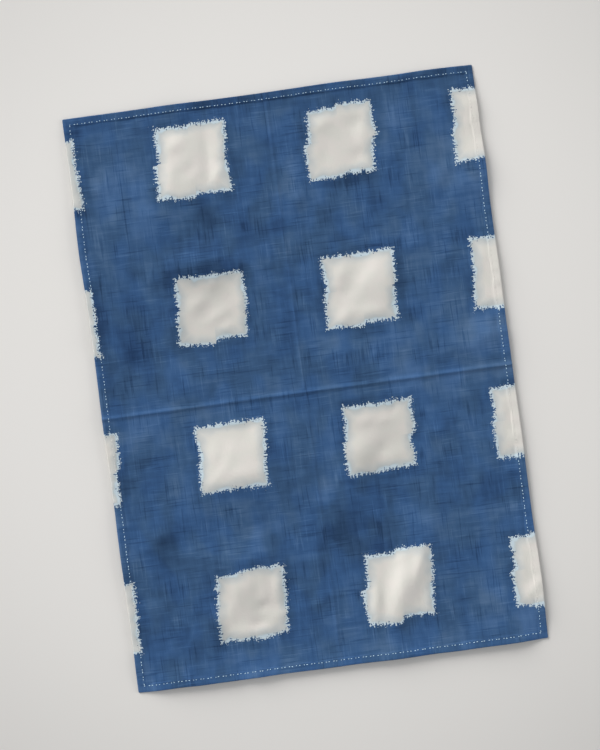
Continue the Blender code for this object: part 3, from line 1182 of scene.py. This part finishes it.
def dye_colour(graph, place, border):
    """The blue: lighter and darker in patches that are partly dye and partly painted shade and light, in
    mottle and yarns, and darker where the dye pooled round a square.
    """
    mottle = graph.centred(graph.noise(place, 0.085, 0.100, 80.0, 1.0), 0.60)
    pooled = graph.ramp(border, 0.0060, 0.0150, -0.10, 0.0)
    lighter = graph.total([graph.attribute("dye_and_painted_shade"), mottle, pooled, yarn_tone(graph, place)])
    tone = graph.math("SUBTRACT", lighter, slub_depth(graph, place))
    dye = graph.colours(graph.math("MULTIPLY_ADD", tone, DYE_CONTRAST, 0.5), DYE_COLOURS)
    hue = graph.ramp(graph.noise(place, 0.030, 0.045, 85.0, 1.0), 0.35, 0.65)
    return graph.mix(1.0, dye, graph.mix(hue, *DYE_TINTS), "MULTIPLY")


def undyed_colour(graph, place, border):
    """Cream linen, with blue that bled in from the dye and fades inwards, made whiter and greyer in patches
    of painted light and shade.
    """
    cream = graph.mix(graph.ramp(graph.noise(place, 0.022, 0.022, 90.0), 0.35, 0.65), *CREAMS)
    wander = graph.centred(graph.noise(place, 0.016, 0.016, 95.0, 1.0), 0.012)
    from_dye = graph.math("SUBTRACT", wander, border)
    bleed = graph.colours(graph.ramp(from_dye, 0.0, 0.0140), BLEED_COLOURS)
    colour = graph.mix(graph.ramp(from_dye, 0.0080, 0.0145), bleed, cream)
    # Painted light and shade: the patches scale the undyed colour up and down
    return graph.scale(colour, graph.attribute("undyed_painted_light_and_shade"))


def linen_material():
    graph = Graph("dyed_linen")
    place = graph.flat_place()
    undyed, border = undyed_share(graph, place)
    colour = graph.mix(undyed, dye_colour(graph, place, border), undyed_colour(graph, place, border))
    sockets = {"Strength": 0.5, "Distance": 0.00018, "Height": weave_height(graph, place)}
    relief = graph.add("ShaderNodeBump", sockets, "Normal")
    return graph.finish(
        Base_Color=colour,
        Roughness=0.86,
        Normal=relief,
        Sheen_Weight=0.12,
        Sheen_Roughness=0.5,
        Specular_IOR_Level=0.25,
    )


def thread_material():
    """Fine twisted thread, faintly dyed where the cloth is, and cream in the undyed squares."""
    graph = Graph("hem_thread")
    place = graph.add("ShaderNodeTexCoord", {}, "Object")
    fibre = graph.add("ShaderNodeTexNoise", {"Vector": place, "Scale": 2500.0, "Detail": 1.0})
    faint_dye = graph.mix(fibre, *DYED_THREADS)
    cream = graph.mix(fibre, *UNDYED_THREADS)
    colour = graph.mix(graph.attribute("undyed"), faint_dye, cream)
    relief = graph.add("ShaderNodeBump", {"Strength": 0.3, "Distance": 0.0001, "Height": fibre}, "Normal")
    return graph.finish(Base_Color=colour, Roughness=0.7, Normal=relief, Sheen_Weight=0.1)


def make_floor():
    """A pale surface, well wider than the view, with painted shade: a little darker away from the upper left
    and away from the middle.
    """
    graph = Graph("pale_surface")
    place = graph.flat_place()
    # Painted shade: the floor's colour falls off along a slope and away from the middle, standing in for
    # uneven light
    slope = {0: place, 1: (-0.067, 0.135, 0.0)}
    across_view = graph.add("ShaderNodeVectorMath", slope, "Value", operation="DOT_PRODUCT")
    across_view = graph.math("MAXIMUM", graph.math("MINIMUM", across_view, 0.09), -0.09)
    from_middle = graph.add("ShaderNodeVectorMath", {0: place}, "Value", operation="LENGTH")
    shade = graph.math("ADD", graph.ramp(from_middle, 0.30, 0.80, 1.0, 0.77), across_view)
    pale = graph.mix(graph.noise(place, 0.20, 0.20, 4.0), *FLOOR_PALES)
    material = graph.finish(Base_Color=graph.scale(pale, shade), Roughness=0.9, Specular_IOR_Level=0.2)
    half = 2.5
    corners = [(-half, -half, 0.0), (half, -half, 0.0), (half, half, 0.0), (-half, half, 0.0)]
    mesh = bpy.data.meshes.new("floor")
    mesh.from_pydata(corners, [], [(0, 1, 2, 3)])
    mesh.materials.append(material)
    floor = bpy.data.objects.new("floor", mesh)
    bpy.context.scene.collection.objects.link(floor)


def make_camera():
    """Straight above, far off, turned so that the cloth lies a little anticlockwise in the view."""
    camera = bpy.data.cameras.new("camera")
    camera.lens = 100.0
    camera.sensor_width = 36.0
    holder = bpy.data.objects.new("camera", camera)
    holder.location = (-0.0057, 0.0052, 2.526)
    holder.rotation_euler = (0.0, 0.0, radians(-7.6))
    bpy.context.scene.collection.objects.link(holder)
    bpy.context.scene.camera = holder


def make_light():
    """Soft low daylight from the upper left, weaker low light from the other sides, and a pale sky."""
    for light in LIGHTS:
        sun = bpy.data.lights.new(light.name, "SUN")
        sun.energy = light.strength
        sun.angle = radians(light.softness)
        sun.color = light.colour
        holder = bpy.data.objects.new(light.name, sun)
        holder.rotation_euler = (0.0, radians(90 - light.elevation), radians(light.bearing))
        bpy.context.scene.collection.objects.link(holder)

    world = bpy.data.worlds.new("sky")
    world.use_nodes = True
    world.node_tree.nodes["Background"].inputs["Color"].default_value = (0.95, 0.965, 1.0, 1.0)
    world.node_tree.nodes["Background"].inputs["Strength"].default_value = 0.42
    bpy.context.scene.world = world
    bpy.context.scene.view_settings.view_transform = "Standard"


make_camera()
make_light()
make_floor()
linen = make_linen(linen_material())
stitches = make_stitches(thread_material())
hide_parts("cloth")
